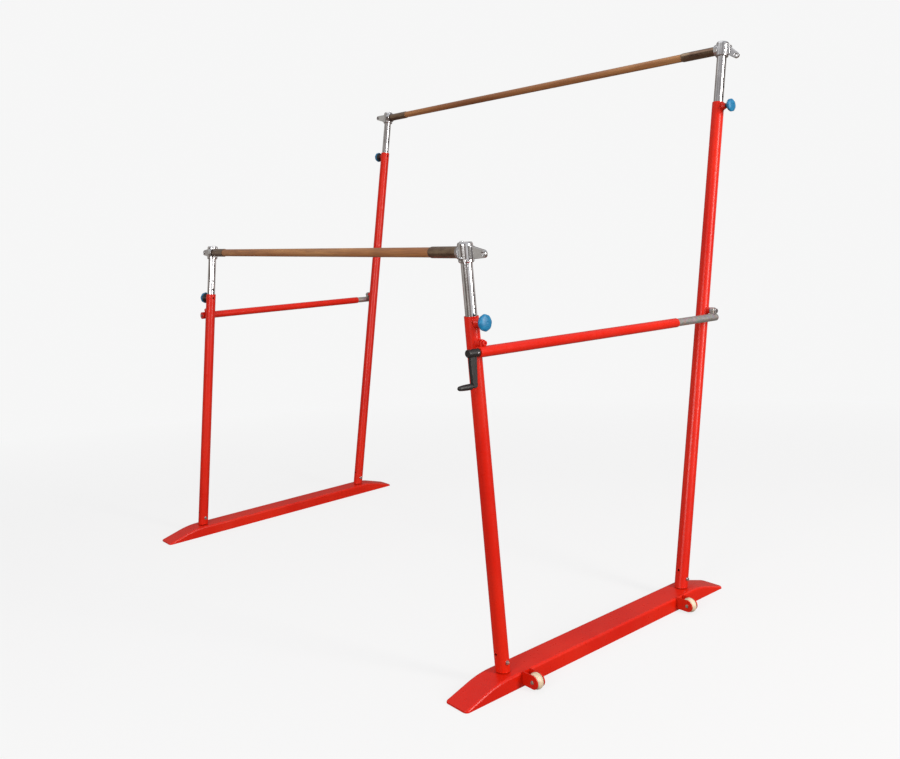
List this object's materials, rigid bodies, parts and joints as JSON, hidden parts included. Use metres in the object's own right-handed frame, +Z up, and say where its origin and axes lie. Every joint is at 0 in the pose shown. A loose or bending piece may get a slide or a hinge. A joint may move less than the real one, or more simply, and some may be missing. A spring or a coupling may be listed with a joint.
{
  "type": "uneven parallel bars",
  "caption": "Free-standing uneven bars: low and high wooden bars on telescopic steel posts, spread by a crank screw, on flat base rails with transport wheels.",
  "frame": {"origin": "on the floor, at the centre of the apparatus's overall footprint", "axes": "+X along the bars from the left frame to the right frame, which carries the crank and the wheels; +Y from the low bar to the high bar; +Z up"},
  "size_m": [2.6655, 2.0149, 2.5206],
  "materials": {
    "red_paint": "gloss",
    "chrome": "polished",
    "bronze": "dark bronze plated",
    "wood": "satin",
    "blue_plastic": "gloss",
    "black_plastic": "satin",
    "cream_nylon": "satin",
    "zinc_steel": "zinc plated",
    "brass": "machined"
  },
  "bodies": {
    "bases": {"left_base_rail": "red_paint", "right_base_rail": "red_paint", "left_low_foot_bolt": "chrome", "left_high_foot_bolt": "chrome", "right_low_foot_bolt": "chrome", "right_high_foot_bolt": "chrome", "low_end_wheel_fork": "red_paint", "low_end_wheel_axle": "zinc_steel", "high_end_wheel_fork": "red_paint", "high_end_wheel_axle": "zinc_steel"},
    "low_side": {"left_low_post": "red_paint", "left_low_pin_barrel": "black_plastic", "left_low_spreader_bolt": "red_paint", "right_low_post": "red_paint", "right_low_pin_barrel": "black_plastic", "right_low_spreader_bolt": "red_paint"},
    "low_left_head": {"left_low_inner_post": "chrome", "left_low_head": "chrome", "left_low_swivel_pin": "chrome"},
    "low_left_knob": {"left_low_knob": "blue_plastic", "left_low_pull_pin": "zinc_steel"},
    "low_right_head": {"right_low_inner_post": "chrome", "right_low_head": "chrome", "right_low_swivel_pin": "chrome"},
    "low_right_knob": {"right_low_knob": "blue_plastic", "right_low_pull_pin": "zinc_steel"},
    "low_bar": {"low_bar": "wood", "left_low_sleeve": "bronze", "right_low_sleeve": "bronze"},
    "low_end_wheel": {"low_end_wheel": "cream_nylon"},
    "high_side": {"left_high_post": "red_paint", "left_high_pin_barrel": "black_plastic", "left_high_spreader_bolt": "chrome", "right_high_post": "red_paint", "right_high_pin_barrel": "black_plastic", "right_high_spreader_bolt": "chrome"},
    "high_left_head": {"left_high_inner_post": "chrome", "left_high_head": "chrome", "left_high_swivel_pin": "chrome"},
    "high_left_knob": {"left_high_knob": "blue_plastic", "left_high_pull_pin": "zinc_steel"},
    "high_right_head": {"right_high_inner_post": "chrome", "right_high_head": "chrome", "right_high_swivel_pin": "chrome"},
    "high_right_knob": {"right_high_knob": "blue_plastic", "right_high_pull_pin": "zinc_steel"},
    "high_bar": {"high_bar": "wood", "left_high_sleeve": "bronze", "right_high_sleeve": "bronze"},
    "high_end_wheel": {"high_end_wheel": "cream_nylon"},
    "left_spreader": {"left_spreader_tube": "red_paint"},
    "left_slide": {"left_spreader_slide": "zinc_steel", "left_screw_nut": "brass"},
    "right_spreader": {"right_spreader_tube": "red_paint"},
    "right_slide": {"right_spreader_slide": "zinc_steel", "right_screw_nut": "brass"},
    "left_screw": {"left_lead_screw": "zinc_steel"},
    "crank": {"right_lead_screw": "zinc_steel", "crank_arm": "black_plastic"},
    "grip": {"crank_grip": "black_plastic"}
  },
  "joints": [
    {"name": "low_side_lean", "type": "hinge", "parent": "bases", "child": "low_side", "pos_m": [0, -0.77, 0.09], "axis": [1, 0, 0], "range_deg": [-1.5, 4]},
    {"name": "high_side_lean", "type": "hinge", "parent": "bases", "child": "high_side", "pos_m": [0, 0.346, 0.09], "axis": [-1, 0, 0], "range_deg": [-1.5, 4]},
    {"name": "left_spreader_swing", "type": "hinge", "parent": "low_side", "child": "left_spreader", "pos_m": [-1.255, -0.65848, 1.26974], "axis": [1, 0, 0], "range_deg": [-4.94, 1.89]},
    {"name": "left_spreader_extend", "type": "slide", "parent": "left_spreader", "child": "left_slide", "axis": [0, 0.9999, -0.011], "range_m": [-0.06195, 0.16438]},
    {"name": "right_spreader_swing", "type": "hinge", "parent": "low_side", "child": "right_spreader", "pos_m": [1.255, -0.81386, 1.25818], "axis": [1, 0, 0], "range_deg": [-4.6, 1.76]},
    {"name": "right_spreader_extend", "type": "slide", "parent": "right_spreader", "child": "right_slide", "axis": [0, 0.9999, -0.0169], "range_m": [-0.06092, 0.16161]},
    {"name": "left_screw_turn", "type": "hinge", "parent": "left_spreader", "child": "left_screw", "pos_m": [-1.255, -0.65881, 1.23974], "axis": [0, 0.9999, -0.011], "range_deg": [-2160, 5760]},
    {"name": "crank_turn", "type": "hinge", "parent": "right_spreader", "child": "crank", "pos_m": [1.255, -0.81436, 1.22818], "axis": [0, 0.9999, -0.0169], "range_deg": [-2160, 5760]},
    {"name": "grip_spin", "type": "hinge", "parent": "crank", "child": "grip", "pos_m": [1.255, -0.81635, 1.1102], "axis": [0, -0.9999, 0.0169], "continuous": true},
    {"name": "low_bar_height", "type": "slide", "parent": "low_side", "child": "low_left_head", "axis": [0, 0.0941, 0.9956], "range_m": [-0.1, 0.2]},
    {"name": "low_right_head_height", "type": "slide", "parent": "low_side", "child": "low_right_head", "axis": [0, -0.0375, 0.9993], "range_m": [-0.1, 0.2]},
    {"name": "low_bar_swivel", "type": "hinge", "parent": "low_left_head", "child": "low_bar", "pos_m": [-1.18106, -0.62804, 1.60838], "axis": [0, 0.0941, 0.9956], "range_deg": [-0.653, 0.336]},
    {"name": "low_left_knob_pull", "type": "slide", "parent": "low_side", "child": "low_left_knob", "axis": [-1, 0, 0], "range_m": [0, 0.012], "stiffness_N_per_m": 400},
    {"name": "low_right_knob_pull", "type": "slide", "parent": "low_side", "child": "low_right_knob", "axis": [1, 0, 0], "range_m": [0, 0.012], "stiffness_N_per_m": 400},
    {"name": "low_end_wheel_spin", "type": "hinge", "parent": "bases", "child": "low_end_wheel", "pos_m": [1.304, -0.705, 0.031], "axis": [0, 1, 0], "continuous": true},
    {"name": "high_bar_height", "type": "slide", "parent": "high_side", "child": "high_left_head", "axis": [0, 0.1762, 0.9843], "range_m": [-0.1, 0.2]},
    {"name": "high_right_head_height", "type": "slide", "parent": "high_side", "child": "high_right_head", "axis": [0, 0.2529, 0.9675], "range_m": [-0.1, 0.2]},
    {"name": "high_bar_swivel", "type": "hinge", "parent": "high_left_head", "child": "high_bar", "pos_m": [-1.18106, 0.77009, 2.4502], "axis": [0, 0.1762, 0.9843], "range_deg": [-0.209, 0.398]},
    {"name": "high_left_knob_pull", "type": "slide", "parent": "high_side", "child": "high_left_knob", "axis": [-1, 0, 0], "range_m": [0, 0.012], "stiffness_N_per_m": 400},
    {"name": "high_right_knob_pull", "type": "slide", "parent": "high_side", "child": "high_right_knob", "axis": [1, 0, 0], "range_m": [0, 0.012], "stiffness_N_per_m": 400},
    {"name": "high_end_wheel_spin", "type": "hinge", "parent": "bases", "child": "high_end_wheel", "pos_m": [1.304, 0.242, 0.031], "axis": [0, 1, 0], "continuous": true}
  ],
  "couplings": [
    {"joint": "low_side_lean", "follows": "high_side_lean", "ratio": 1},
    {"joint": "left_spreader_swing", "follows": "high_side_lean", "ratio": -1.2236},
    {"joint": "left_spreader_extend", "follows": "high_side_lean", "m_per_rad": 2.3474},
    {"joint": "right_spreader_swing", "follows": "high_side_lean", "ratio": -1.1381},
    {"joint": "right_spreader_extend", "follows": "high_side_lean", "m_per_rad": 2.3078},
    {"joint": "left_screw_turn", "follows": "high_side_lean", "ratio": 1440},
    {"joint": "crank_turn", "follows": "high_side_lean", "ratio": 1440},
    {"joint": "low_right_head_height", "follows": "low_bar_height", "ratio": 1},
    {"joint": "low_bar_swivel", "follows": "low_bar_height", "rad_per_m": -0.055238},
    {"joint": "high_right_head_height", "follows": "high_bar_height", "ratio": 1},
    {"joint": "high_bar_swivel", "follows": "high_bar_height", "rad_per_m": 0.032978}
  ]
}
